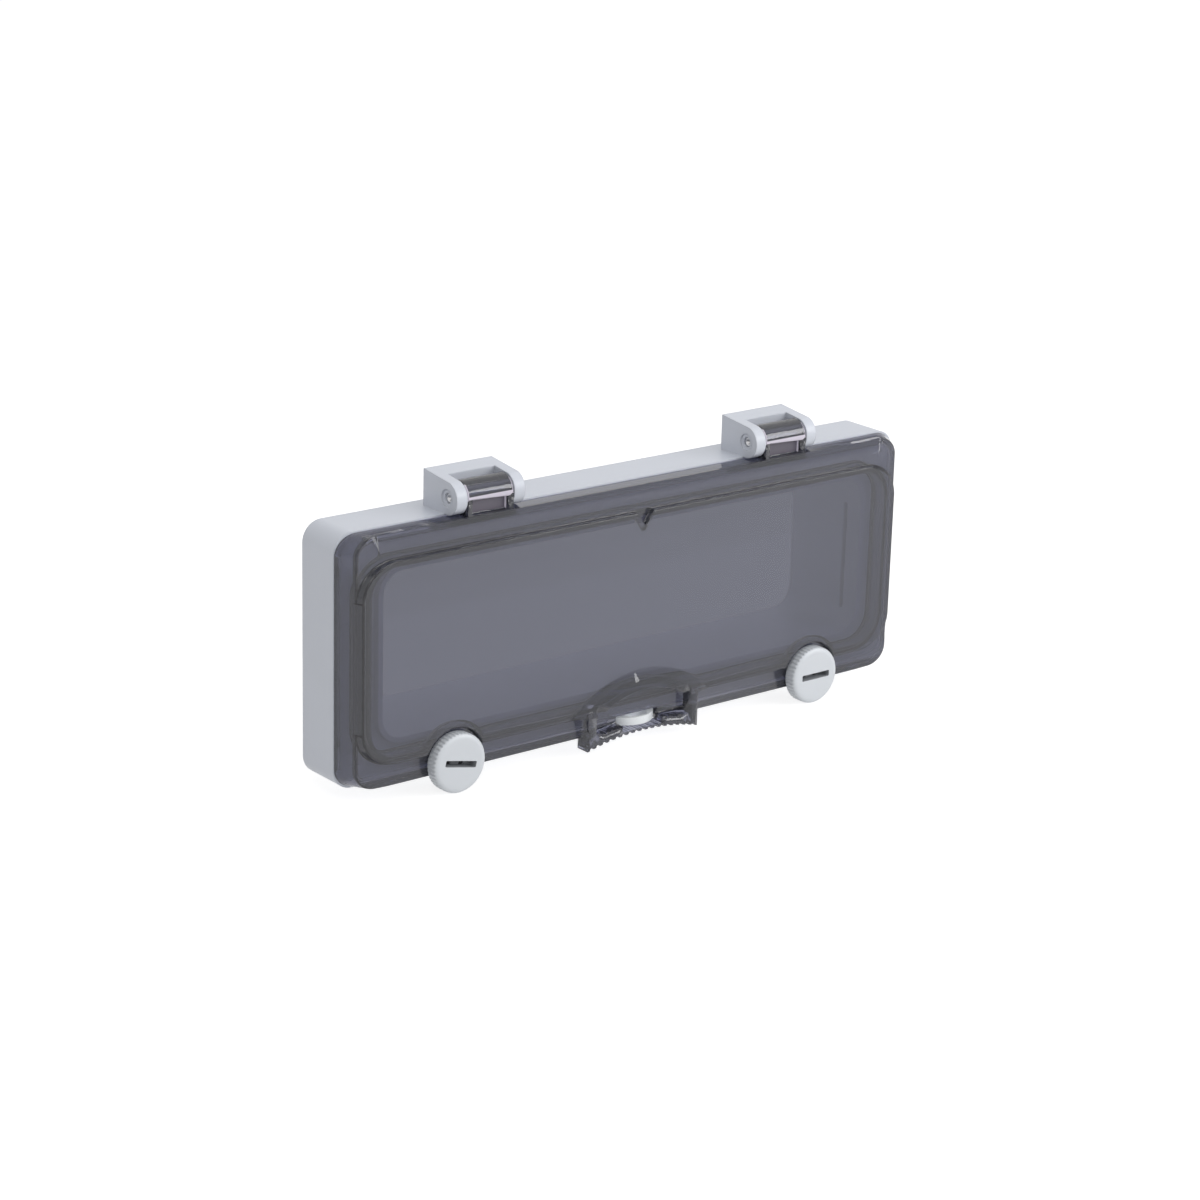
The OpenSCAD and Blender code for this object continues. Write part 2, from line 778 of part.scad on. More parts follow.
// The groove in the shank that the snap ring sits in.
module shank_groove() {
    translate([0, 0, knob_back_y - retainer_y - retainer_t])
        difference() {
            cylinder(r = shank_r + 1, h = retainer_t);
            translate([0, 0, -1])
                cylinder(r = retainer_groove_r, h = retainer_t + 2);
        }
}

module knob_o_ring(x) {
    color(RUBBER)
        translate([x, knob_back_y - o_ring_r + o_ring_squeeze, knob_z])
            rotate([90, 0, 0])
                rotate_extrude()
                    translate([o_ring_mid_r, 0])
                        circle(o_ring_r, $fn = 32);
}

// A snap ring that sits in the shank's groove behind the lid.
module knob_retainer(x) {
    color(STEEL)
        difference() {
            rod(retainer_r, x, knob_z, retainer_y, retainer_y + retainer_t);
            rod(retainer_groove_r, x, knob_z, retainer_y - 1, retainer_y + 2);
            box([x - retainer_mouth / 2, retainer_y - 1, knob_z],
                [x + retainer_mouth / 2, retainer_y + 2, knob_z + 2 * retainer_r]);
        }
}

// A one-armed cam; the arm points along the keyhole while the knob is open.
module latch_cam(x) {
    color(STEEL)
        difference() {
            union() {
                rod(cam_hub_r, x, knob_z, cam_y, cam_y + cam_t);
                box([x - cam_reach + cam_half, cam_y, knob_z - cam_half], [x, cam_y + cam_t, knob_z + cam_half]);
                rod(cam_half, x - cam_reach + cam_half, knob_z, cam_y, cam_y + cam_t);
            }
            rod(cam_screw_r, x, knob_z, cam_y - 1, cam_y + cam_t + 1);
        }
}

// A round-head screw that holds the cam on the shank's end.
module cam_screw(x) {
    head_y = cam_y + cam_t;
    color(STEEL)
        difference() {
            union() {
                rod(cam_screw_r, x, knob_z, head_y - cam_screw_l, head_y + 0.2);
                translate([x, head_y, knob_z])
                    rotate([-90, 0, 0])
                        rotate_extrude()
                            polygon([
                                [0, 0], [cam_screw_head_r, 0], [cam_screw_head_r, 0.5 * cam_screw_head_t],
                                [cam_screw_head_r - 0.6, cam_screw_head_t], [0, cam_screw_head_t],
                            ]);
            }
            translate([x, head_y + cam_screw_head_t, knob_z])
                cube([4 * cam_screw_head_r, cam_screw_head_t, 0.6], center = true);
        }
}

base_frame();
panel_gasket();
lid_gasket();
seal_tab();
mounting_screws();
mounting_washers();
screw_caps();
hinge_pin(-hinge_x);  // hinge_pin_left
hinge_pin(hinge_x);  // hinge_pin_right
lid();
knob(-knob_x, left_knob_turn);  // knob_left
knob_o_ring(-knob_x);  // knob_o_ring_left
knob_retainer(-knob_x);  // knob_retainer_left
latch_cam(-knob_x);  // latch_cam_left
cam_screw(-knob_x);  // cam_screw_left
knob(knob_x, 0);  // knob_right
knob_o_ring(knob_x);  // knob_o_ring_right
knob_retainer(knob_x);  // knob_retainer_right
latch_cam(knob_x);  // latch_cam_right
cam_screw(knob_x);  // cam_screw_right
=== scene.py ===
"""Studio view of a hinged smoked inspection window for twelve DIN modules.

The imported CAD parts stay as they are. Each sub-assembly below is a class that dresses its CAD nodes
or builds finer pieces in the same space, and each finish is a small frozen dataclass that makes one
procedural material. Lengths are metres unless a docstring says otherwise: X to the right, Y away
from the viewer, Z up.
"""

import logging
import math
from dataclasses import dataclass, field
from enum import Enum, IntEnum
from typing import Any, Mapping, Optional, Sequence

import bmesh
import bpy
from mathutils import Matrix, Vector


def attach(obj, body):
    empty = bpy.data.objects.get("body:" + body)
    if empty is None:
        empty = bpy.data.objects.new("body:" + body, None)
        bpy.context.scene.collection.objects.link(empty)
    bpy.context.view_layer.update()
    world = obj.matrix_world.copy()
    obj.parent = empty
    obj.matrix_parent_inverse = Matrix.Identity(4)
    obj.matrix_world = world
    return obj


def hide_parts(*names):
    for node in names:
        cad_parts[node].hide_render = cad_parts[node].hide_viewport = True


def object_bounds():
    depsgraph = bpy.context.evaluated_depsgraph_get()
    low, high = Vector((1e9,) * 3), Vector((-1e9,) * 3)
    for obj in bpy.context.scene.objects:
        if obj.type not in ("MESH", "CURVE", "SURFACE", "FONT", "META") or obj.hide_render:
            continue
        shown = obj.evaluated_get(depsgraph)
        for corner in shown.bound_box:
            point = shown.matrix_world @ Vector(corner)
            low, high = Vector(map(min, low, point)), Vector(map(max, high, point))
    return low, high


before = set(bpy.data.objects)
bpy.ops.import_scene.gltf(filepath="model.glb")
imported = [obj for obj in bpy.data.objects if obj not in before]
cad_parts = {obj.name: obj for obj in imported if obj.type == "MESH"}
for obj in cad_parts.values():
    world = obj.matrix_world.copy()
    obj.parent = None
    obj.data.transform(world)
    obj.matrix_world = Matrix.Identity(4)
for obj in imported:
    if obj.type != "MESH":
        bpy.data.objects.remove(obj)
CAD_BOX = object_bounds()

LOG = logging.getLogger("window")
MM = 0.001
MM_PER_M = 1000.0
ROUNDED = 1  # material slot that marks a rounded or a cut face while a piece is built
FLOOR_GAP = 0.0002

Colour = tuple[float, float, float, float]
Nodes = bpy.types.NodeTree
Profile = list[tuple[float, float]]
Box = tuple[tuple[float, float, float], tuple[float, float, float]]


class Side(IntEnum):
    """A side of the window, with its sign along X."""

    LEFT = -1
    RIGHT = 1

    @property
    def word(self) -> str:
        """Returns the side's name as pieces and joints have it."""
        return self.name.lower()


SLOT_TURNS = {Side.LEFT: -12.0, Side.RIGHT: 0.0}


def linear(code: str) -> Colour:
    """Turns an sRGB hex colour into the linear colour Cycles works in.

    Args:
        code: Six hex digits, with or without a leading hash.

    Returns:
        Linear red, green and blue, and an alpha of one.
    """
    code = code.lstrip("#")
    channels = [int(code[i : i + 2], 16) / 255 for i in (0, 2, 4)]
    r, g, b = [c / 12.92 if c <= 0.04045 else ((c + 0.055) / 1.055) ** 2.4 for c in channels]
    return (r, g, b, 1.0)


def add_node(
    tree: Nodes,
    kind: str,
    inputs: Optional[Mapping[str, Any]] = None,
    settings: Optional[Mapping[str, Any]] = None,
) -> bpy.types.Node:
    """Adds one shader node, sets it up and joins it to others.

    Args:
        tree: The node tree that gets the node.
        kind: The node's type name, such as "ShaderNodeBump".
        inputs: Value for each named input; an output socket is linked and anything else is set.
        settings: Properties of the node itself.

    Returns:
        The new node.
    """
    node = tree.nodes.new(kind)
    for name, value in (settings or {}).items():
        setattr(node, name, value)
    for name, value in (inputs or {}).items():
        socket = node.inputs[int(name)] if name.isdigit() else node.inputs[name]
        if isinstance(value, bpy.types.NodeSocket):
            tree.links.new(value, socket)
        else:
            socket.default_value = value
    return node


def blank_material(name: str) -> tuple[bpy.types.Material, Nodes]:
    """Makes an empty node material.

    Args:
        name: The real material and process.

    Returns:
        The material and its node tree.
    """
    material = bpy.data.materials.new(name)
    material.use_nodes = True
    material.node_tree.nodes.clear()
    return material, material.node_tree


# ---------------------------------------------------------------- finishes


@dataclass(frozen=True)
class Grain:
    """Fine relief and soft mottling of a moulded or drawn surface.

    Attributes:
        pitch_mm: Size of one grain.
        relief_mm: Height of the grain.
        stretch: How the grain is stretched along X, Y and Z; a small number makes long streaks.
        mottle: How far the colour drifts, as a share of itself.
        mottle_mm: Size of one patch of that drift.
    """

    pitch_mm: float
    relief_mm: float
    stretch: tuple[float, float, float] = (1.0, 1.0, 1.0)
    mottle: float = 0.04
    mottle_mm: float = 28.0


@dataclass(frozen=True)
class Finish:
    """An opaque surface: base colour, gloss, softened edges and grain.

    Attributes:
        name: The real material and process.
        colour: sRGB hex colour.
        roughness: Microfacet roughness of the smooth spots.
        ior: Index of refraction.
        metallic: One for bare metal.
        edge_mm: Radius that edges are softened to.
        grain: Relief and mottling.
        gloss_drift: How far the roughness drifts with the grain, as a share of itself.
        patch_band: Part of the mottling's noise over which the colour drifts.
    """

    name: str
    colour: str
    roughness: float
    grain: Grain
    ior: float = 1.5
    metallic: float = 0.0
    edge_mm: float = 0.35
    gloss_drift: float = 0.12
    patch_band: tuple[float, float] = (0.3, 0.7)

    def material(self) -> bpy.types.Material:
        """Builds the Cycles material.

        Returns:
            A node material with linked colour, roughness and normal.
        """
        material, tree = blank_material(self.name)
        place = add_node(tree, "ShaderNodeTexCoord").outputs["Object"]
        patches = add_node(
            tree,
            "ShaderNodeTexNoise",
            {
                "Vector": place,
                "Scale": MM_PER_M / self.grain.mottle_mm,
                "Detail": 3.0,
                "Roughness": 0.55,
            },
        )
        base = linear(self.colour)
        gains = (1 - self.grain.mottle, 1 + self.grain.mottle)
        ramp = add_node(tree, "ShaderNodeValToRGB", {"Fac": patches.outputs[0]})
        for element, spot, gain in zip(ramp.color_ramp.elements, self.patch_band, gains):
            element.position = spot
            element.color = tuple(min(1.0, c * gain) for c in base[:3]) + (1.0,)
        stretched = add_node(
            tree, "ShaderNodeMapping", {"Vector": place, "Scale": self.grain.stretch}
        )
        grains = add_node(
            tree,
            "ShaderNodeTexNoise",
            {
                "Vector": stretched.outputs[0],
                "Scale": MM_PER_M / self.grain.pitch_mm,
                "Detail": 2.0,
            },
        )
        gloss = add_node(
            tree,
            "ShaderNodeMapRange",
            {
                "Value": grains.outputs[0],
                "To Min": self.roughness * (1 - self.gloss_drift),
                "To Max": self.roughness * (1 + self.gloss_drift),
            },
        )
        edge = add_node(tree, "ShaderNodeBevel", {"Radius": self.edge_mm * MM}, {"samples": 6})
        bump = add_node(
            tree,
            "ShaderNodeBump",
            {
                "Height": grains.outputs[0],
                "Distance": self.grain.relief_mm * MM,
                "Strength": 1.0,
                "Normal": edge.outputs[0],
            },
        )
        shader = add_node(
            tree,
            "ShaderNodeBsdfPrincipled",
            {
                "Base Color": ramp.outputs[0],
                "Roughness": gloss.outputs[0],
                "Normal": bump.outputs[0],
                "Metallic": self.metallic,
                "IOR": self.ior,
            },
        )
        add_node(tree, "ShaderNodeOutputMaterial", {"Surface": shader.outputs[0]})
        return material


@dataclass(frozen=True)
class SmokedClear:
    """Clear smoked plastic: tinted at its faces, and a little darker where it is thick.

    Attributes:
        name: The real material and process.
        tint: sRGB hex colour of the plastic in a thin sheet.
        clarity: Share of the light that goes through rather than scatters.
        depth_tint: sRGB hex colour that thick places turn to.
        density: Absorption per metre.
        roughness: Roughness of the polished faces.
        ior: Index of refraction.
        ripple_mm: Height of the slow ripple of the moulded faces.
        ripple_pitch_mm: Width of one wave of that ripple.
        smudge_mm: Width of one patch of handling marks.
        smudge_gloss: Least and most roughness in those patches, as shares of the roughness.
        smudge_drift: How far the tint drifts with them, as a share of itself.
        lamp_tint: What is left of lamp light that shines through, so that its shadow stays faint.
    """

    name: str
    tint: str
    clarity: float
    depth_tint: str
    density: float
    roughness: float = 0.012
    ior: float = 1.585
    ripple_mm: float = 0.001
    ripple_pitch_mm: float = 14.0
    smudge_mm: float = 35.0
    smudge_gloss: tuple[float, float] = (0.7, 1.5)
    smudge_drift: float = 0.015
    lamp_tint: Colour = (0.96, 0.96, 0.97, 1.0)

    def material(self) -> bpy.types.Material:
        """Builds the Cycles material.

        Returns:
            A transmitting material with absorption inside; lamps shine through it.
        """
        material, tree = blank_material(self.name)
        place = add_node(tree, "ShaderNodeTexCoord").outputs["Object"]
        ripple = add_node(
            tree,
            "ShaderNodeTexNoise",
            {"Vector": place, "Scale": MM_PER_M / self.ripple_pitch_mm, "Detail": 1.0},
        )
        smudge = add_node(
            tree,
            "ShaderNodeTexNoise",
            {"Vector": place, "Scale": MM_PER_M / self.smudge_mm, "Detail": 3.0},
        )
        gloss = add_node(
            tree,
            "ShaderNodeMapRange",
            {
                "Value": smudge.outputs[0],
                "To Min": self.roughness * self.smudge_gloss[0],
                "To Max": self.roughness * self.smudge_gloss[1],
            },
        )
        base = linear(self.tint)
        drift = add_node(tree, "ShaderNodeValToRGB", {"Fac": smudge.outputs[0]})
        gains = (1 - self.smudge_drift, 1 + self.smudge_drift)
        for element, gain in zip(drift.color_ramp.elements, gains):
            element.color = tuple(c * gain for c in base[:3]) + (1.0,)
        bump = add_node(
            tree,
            "ShaderNodeBump",
            {"Height": ripple.outputs[0], "Distance": self.ripple_mm * MM},
        )
        body = add_node(
            tree,
            "ShaderNodeBsdfPrincipled",
            {
                "Base Color": drift.outputs[0],
                "Roughness": gloss.outputs[0],
                "Normal": bump.outputs[0],
                "IOR": self.ior,
                "Transmission Weight": self.clarity,
            },
        )
        lamp_way = add_node(tree, "ShaderNodeBsdfTransparent", {"Color": self.lamp_tint})
        is_shadow = add_node(tree, "ShaderNodeLightPath").outputs["Is Shadow Ray"]
        surface = add_node(
            tree,
            "ShaderNodeMixShader",
            {"0": is_shadow, "1": body.outputs[0], "2": lamp_way.outputs[0]},
        )
        inside = add_node(
            tree,
            "ShaderNodeVolumeAbsorption",
            {"Color": linear(self.depth_tint), "Density": self.density},
        )
        add_node(
            tree,
            "ShaderNodeOutputMaterial",
            {"Surface": surface.outputs[0], "Volume": inside.outputs[0]},
        )
        return material


class Stock(Enum):
    """Every finish of the window, by what it is made of."""

    # Light-grey polycarbonate and ABS blend, injection moulded in a fine spark-eroded tool: an even
    # satin grey with soft highlights.
    FRAME = Finish(
        "moulded_light_grey_pc_abs",
        "c6cad3",
        roughness=0.42,
        grain=Grain(0.45, 0.006, mottle=0.015),
        ior=1.58,
        edge_mm=0.7,
    )
    # Paler ABS from a smoother tool, for the knobs and plugs: a little glossier than the frame.
    KNOB = Finish(
        "moulded_pale_grey_abs",
        "d2d6db",
        roughness=0.36,
        grain=Grain(0.35, 0.004, mottle=0.015),
        ior=1.54,
        edge_mm=0.3,
    )
    # Off-white acetal, injection moulded: a waxy gloss.
    TAB = Finish(
        "moulded_off_white_acetal",
        "e6eaec",
        roughness=0.28,
        grain=Grain(0.5, 0.003, mottle=0.02),
        ior=1.48,
        edge_mm=0.3,
    )
    # Black nitrile rubber, moulded: dull and nearly black.
    RUBBER = Finish(
        "moulded_black_nitrile_rubber",
        "1f2022",
        roughness=0.62,
        grain=Grain(0.3, 0.01, mottle=0.1),
        ior=1.52,
        edge_mm=0.2,
    )
    # Stainless steel bar, drawn and turned: bright, with streaks along the bar.
    STEEL = Finish(
        "drawn_stainless_steel",
        "c4c4c6",
        roughness=0.3,
        grain=Grain(0.25, 0.002, (0.05, 1.0, 1.0), 0.03),
        metallic=1.0,
        edge_mm=0.12,
    )
    # Smoked polycarbonate, injection moulded and polished: clear, with a violet-grey tint.
    SMOKED = SmokedClear("moulded_smoked_polycarbonate", "b2b4c4", 0.93, "86879a", 285.0)
    # The same plastic along its rounded edges, tinted dark as painted shade: a dark line that stands
    # in for the shade where light runs down the wall and little comes out.
    SMOKED_EDGE = SmokedClear("moulded_smoked_polycarbonate_edge", "5a5a6e", 0.92, "868899", 240.0)
    # A pale, opaque lavender on the knuckles' rims and brows: a painted highlight where the polished
    # plastic catches the light.
    SMOKED_MATT = Finish(
        "spark_eroded_smoked_polycarbonate",
        "c9c3d0",
        roughness=0.3,
        grain=Grain(0.3, 0.004, mottle=0.03),
        ior=1.585,
        edge_mm=0.2,
    )
    # The floor of the knuckles' cored pockets, spark eroded and dull, with a dark colour as painted
    # shade of the pocket.
    SMOKED_CORE = Finish(
        "cored_smoked_polycarbonate",
        "57525e",
        roughness=0.45,
        grain=Grain(0.3, 0.006, mottle=0.05),
        ior=1.585,
        edge_mm=0.2,
    )
    # Pale-grey ABS in the coin slots, matt, and darker than the knob as painted shade in the slot.
    SLOT = Finish(
        "worn_pale_grey_abs",
        "94979c",
        roughness=0.6,
        grain=Grain(0.35, 0.01, mottle=0.08),
        ior=1.54,
        edge_mm=0.1,
    )


class Paintbox:
    """Makes each material once and hands it out."""

    def __init__(self) -> None:
        """Starts with nothing made."""
        self._made: dict[Stock, bpy.types.Material] = {}

    def get(self, stock: Stock) -> bpy.types.Material:
        """Returns the material for a finish.

        Args:
            stock: The finish.

        Returns:
            Its material, made at the first call.
        """
        if stock not in self._made:
            self._made[stock] = stock.value.material()
        return self._made[stock]


# ---------------------------------------------------------------- shapes


def arc(
    centre: tuple[float, float],
    radii: tuple[float, float],
    turn: tuple[float, float],
    steps: int,
) -> Profile:
    """Gives the points of an elliptic arc.

    Args:
        centre: Middle of the ellipse.
        radii: Its two half axes.
        turn: First and last angle in degrees.
        steps: Number of chords.

    Returns:
        The points, both ends included.
    """
    points = []
    for i in range(steps + 1):
        angle = math.radians(turn[0] + (turn[1] - turn[0]) * i / steps)
        x = centre[0] + radii[0] * math.cos(angle)
        y = centre[1] + radii[1] * math.sin(angle)
        points.append((x, y))
    return points


def lathe(
    profile: Profile,
    angles: Sequence[float],
    limits: Sequence[float],
    to_world: Matrix,
) -> bmesh.types.BMesh:
    """Turns a closed profile about its axis.

    Args:
        profile: Radius and height in millimetres, from axis to axis.
        angles: Where the columns stand, in radians.
        limits: The largest radius at each column, in millimetres.
        to_world: Puts the axis (Z) in place; its scale turns millimetres to metres.

    Returns:
        The closed solid.
    """
    bm = bmesh.new()
    rings = []
    for radius, height in profile:
        if radius == 0:
            rings.append([bm.verts.new(to_world @ Vector((0, 0, height)))])
            continue
        ring = []
        for angle, limit in zip(angles, limits):
            r = min(radius, limit)
            spot = Vector((r * math.cos(angle), r * math.sin(angle), height))
            ring.append(bm.verts.new(to_world @ spot))
        rings.append(ring)
    count = len(angles)
    for first, second in zip(rings, rings[1:]):
        for i in range(count):
            j = (i + 1) % count
            first_pair = [first[i % len(first)], first[j % len(first)]]
            second_pair = [second[j % len(second)], second[i % len(second)]]
            # A ring of one vertex, on the axis, leaves a triangle.
            bm.faces.new(list(dict.fromkeys(first_pair + second_pair)))
    bmesh.ops.recalc_face_normals(bm, faces=bm.faces)
    return bm


def new_object(name: str, bm: bmesh.types.BMesh) -> bpy.types.Object:
    """Makes an object from a mesh under work and frees that mesh.

    Args:
        name: The object's name.
        bm: The mesh under work.

    Returns:
        The object, linked to the scene.
    """
    mesh = bpy.data.meshes.new(name)
    bm.to_mesh(mesh)
    bm.free()
    piece = bpy.data.objects.new(name, mesh)
    bpy.context.scene.collection.objects.link(piece)
    return piece


def apply_modifiers(piece: bpy.types.Object) -> None:
    """Turns a piece's modifiers into its mesh.

    Args:
        piece: The piece; it keeps its name and place.
    """
    graph = bpy.context.evaluated_depsgraph_get()
    done = bpy.data.meshes.new_from_object(piece.evaluated_get(graph))
    piece.modifiers.clear()
    old, piece.data = piece.data, done
    bpy.data.meshes.remove(old)


def shade(piece: bpy.types.Object, sharp_deg: float = 35.0) -> None:
    """Shades a piece smooth, apart from its sharp edges.

    Args:
        piece: The piece.
        sharp_deg: Edges that turn more than this stay sharp.
    """
    piece.data.polygons.foreach_set("use_smooth", [True] * len(piece.data.polygons))
    piece.data.set_sharp_from_angle(angle=math.radians(sharp_deg))
    level = piece.modifiers.new("level_faces", "WEIGHTED_NORMAL")
    level.mode, level.weight, level.keep_sharp = "FACE_AREA", 100, True


@dataclass(frozen=True)
class Rounding:
    """Which edges of a moulded piece are rounded, and how; all in millimetres and degrees.

    Attributes:
        width: Width of the rounding.
        least: Edges shorter than this, and edges that end on one, stay sharp.
        turn: Edges that turn less than this stay sharp.
        rear_y: Edges that lie wholly behind this stay sharp.
        merge_below: Flat faces are merged only where an edge lies wholly below this height.
        sharp_zones: Boxes, from low to high corner; edges that end in one stay sharp.
        weld: Vertices closer than this become one.
        flat: Faces that turn less than this are merged.
        segments: Number of faces across the rounding.
    """

    width: float
    least: float
    turn: float
    rear_y: float
    merge_below: float
    sharp_zones: tuple[Box, ...]
    weld: float = 0.002
    flat: float = 0.4
    segments: int = 3

    def keeps_sharp(self, vert: bmesh.types.BMVert) -> bool:
        """Says whether a corner lies in a zone that stays sharp.

        Args:
            vert: The corner.

        Returns:
            True when it does.
        """
        spot = vert.co / MM
        return any(
            all(low[i] <= spot[i] <= high[i] for i in range(3)) for low, high in self.sharp_zones
        )


def eased_copy(node: bpy.types.Object, name: str, how: Rounding) -> bpy.types.Object:
    """Copies a CAD piece and rounds its longer edges for good, as the radii of its mould would.

    Args:
        node: The CAD piece, left as it is.
        name: The copy's name.
        how: Which edges are rounded.

    Returns:
        The copy, linked to the scene; its rounded faces are in the second material slot.
    """
    bm = bmesh.new()
    bm.from_mesh(node.data)
    bmesh.ops.transform(bm, matrix=node.matrix_world, verts=bm.verts)
    bmesh.ops.remove_doubles(bm, verts=bm.verts, dist=how.weld * MM)
    low = [e for e in bm.edges if max(v.co.z for v in e.verts) < how.merge_below * MM]
    bmesh.ops.dissolve_limit(
        bm, angle_limit=math.radians(how.flat), verts=[], edges=low, delimit={"NORMAL"}
    )
    least_turn = math.radians(how.turn)
    turned = [e for e in bm.edges if len(e.link_faces) == 2 and e.calc_face_angle() > least_turn]
    held = {v for e in turned if e.calc_length() < how.least * MM for v in e.verts}
    held |= {v for v in bm.verts if how.keeps_sharp(v)}
    in_front = [e for e in turned if min(v.co.y for v in e.verts) < how.rear_y * MM]
    chosen = [e for e in in_front if not held.intersection(e.verts)]
    rounding = bmesh.ops.bevel(
        bm,
        geom=chosen,
        offset=how.width * MM,
        segments=how.segments,
        profile=0.5,
        affect="EDGES",
        miter_outer="SHARP",
    )
    for face in rounding["faces"]:
        face.material_index = ROUNDED
    bmesh.ops.triangulate(bm, faces=[f for f in bm.faces if len(f.verts) > 4])
    return new_object(name, bm)


# ---------------------------------------------------------------- sub-assemblies


@dataclass
class Assembly:
    """A group of CAD nodes that share a finish.

    Attributes:
        paint: Where materials come from.
        finishes: CAD node to finish.
    """

    paint: Paintbox
    finishes: dict[str, Stock] = field(default_factory=dict)

    def dress(self) -> list[bpy.types.Object]:
        """Gives every CAD node of the group its material.

        Returns:
            The dressed objects.
        """
        done = []
        for name, stock in self.finishes.items():
            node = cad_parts[name]
            node.data.materials.clear()
            node.data.materials.append(self.paint.get(stock))
            done.append(node)
        return done


def seen_by_eye(tree: Nodes) -> bpy.types.NodeSocket:
    """Tells rays that the viewer sees from those that only carry light.

    Args:
        tree: The node tree that asks.

    Returns:
        A socket that is one for camera, mirror and see-through rays.
    """
    path = add_node(tree, "ShaderNodeLightPath")
    total: bpy.types.NodeSocket = path.outputs["Is Camera Ray"]
    for name in ("Is Glossy Ray", "Is Transmission Ray"):
        both = add_node(
            tree,
            "ShaderNodeMath",
            {"0": total, "1": path.outputs[name]},
            {"operation": "MAXIMUM"},
        )
        total = both.outputs[0]
    return total


def stage_plane(
    name: str, half: Sequence[float], place: Sequence[float], tip: float
) -> bpy.types.Object:
    """Lays one flat sheet that belongs to the studio.

    Args:
        name: The sheet's name.
        half: Half its width and half its depth.
        place: Its middle.
        tip: Turn about X.

    Returns:
        The sheet, marked as stage.
    """
    bm = bmesh.new()
    signs = ((-1, -1), (1, -1), (1, 1), (-1, 1))
    bm.faces.new([bm.verts.new((x * half[0], y * half[1], 0)) for x, y in signs])
    sheet = new_object(name, bm)
    sheet.location, sheet.rotation_euler = place, (tip, 0, 0)
    return sheet


@dataclass(frozen=True)
class Softbox:
    """One square studio lamp.

    Attributes:
        name: The lamp's name.
        place: Where it hangs.
        aim: What it points at.
        size: Its side.
        power: Its power in watts.
    """

    name: str
    place: tuple[float, float, float]
    aim: tuple[float, float, float]
    size: float
    power: float

    def hang(self) -> None:
        """Makes the lamp and turns it to what it points at."""
        light = bpy.data.lights.new(self.name, "AREA")
        light.shape, light.size, light.energy = "SQUARE", self.size, self.power
        lamp = bpy.data.objects.new(self.name, light)
        lamp.location = self.place
        lamp.rotation_mode = "QUATERNION"
        lamp.rotation_quaternion = (Vector(self.aim) - Vector(self.place)).to_track_quat("-Z", "Y")
        bpy.context.scene.collection.objects.link(lamp)


@dataclass(frozen=True)
class Card:
    """A glowing card behind the opening, graded in bands of painted shadow, which the clear lid shows
    and nothing else does.

    Attributes:
        y: Where it stands.
        width: Its width.
        graded: Height of its graded middle; the card itself is twice as high.
        lit_half: Half the width of the part that stands behind the opening.
        beside: Brightness of the card beside that part, as a share of its brightness behind it:
            painted shade.
        tones: Share of the graded height, from below, and brightness there; the darker upper bands
            are painted shadow.
        tint: What the brightness is multiplied with for red, green and blue.
    """

    y: float = 0.0215
    width: float = 0.36
    graded: float = 0.08
    lit_half: float = 0.128
    beside: float = 0.12
    tones: tuple[tuple[float, float], ...] = (
        (0.0, 0.44),
        (0.46, 0.42),
        (0.475, 0.38),
        (0.60, 0.38),
        (0.615, 0.355),
        (1.0, 0.335),
    )
    tint: tuple[float, float, float] = (0.97, 0.985, 1.04)

    def stand(self) -> None:
        """Stands the card up and hides it from all but see-through rays."""
        card = stage_plane("grey_card", (self.width / 2, self.graded), (0, self.y, 0), math.pi / 2)
        card.visible_camera = card.visible_diffuse = False
        card.visible_glossy = card.visible_shadow = False
        card.data.materials.append(self._material())

    def _material(self) -> bpy.types.Material:
        """Builds the card's glow, graded from below into darker bands of painted shadow and dimmed
        beside the opening as painted shade.

        Returns:
            A material that only gives light.
        """
        material, tree = blank_material("matt_grey_card")
        place = add_node(tree, "ShaderNodeTexCoord").outputs["Object"]
        spot = add_node(tree, "ShaderNodeSeparateXYZ", {"Vector": place})
        graded = add_node(
            tree,
            "ShaderNodeMapRange",
            {"Value": spot.outputs["Y"], "From Min": -self.graded / 2, "From Max": self.graded / 2},
        )
        ramp = add_node(tree, "ShaderNodeValToRGB", {"Fac": graded.outputs[0]})
        elements = ramp.color_ramp.elements
        while len(elements) < len(self.tones):
            elements.new(0.5)
        for element, (share, tone) in zip(elements, self.tones):
            element.position = share
            element.color = tuple(tone * part for part in self.tint) + (1.0,)
        aside = add_node(
            tree, "ShaderNodeMath", {"0": spot.outputs["X"]}, {"operation": "ABSOLUTE"}
        )
        in_opening = add_node(
            tree,
            "ShaderNodeMath",
            {"0": aside.outputs[0], "1": self.lit_half},
            {"operation": "LESS_THAN"},
        )
        level = add_node(
            tree,
            "ShaderNodeMapRange",
            {"Value": in_opening.outputs[0], "To Min": self.beside, "To Max": 1.0},
        )
        glow = add_node(
            tree, "ShaderNodeEmission", {"Color": ramp.outputs[0], "Strength": level.outputs[0]}
        )
        add_node(tree, "ShaderNodeOutputMaterial", {"Surface": glow.outputs[0]})
        return material


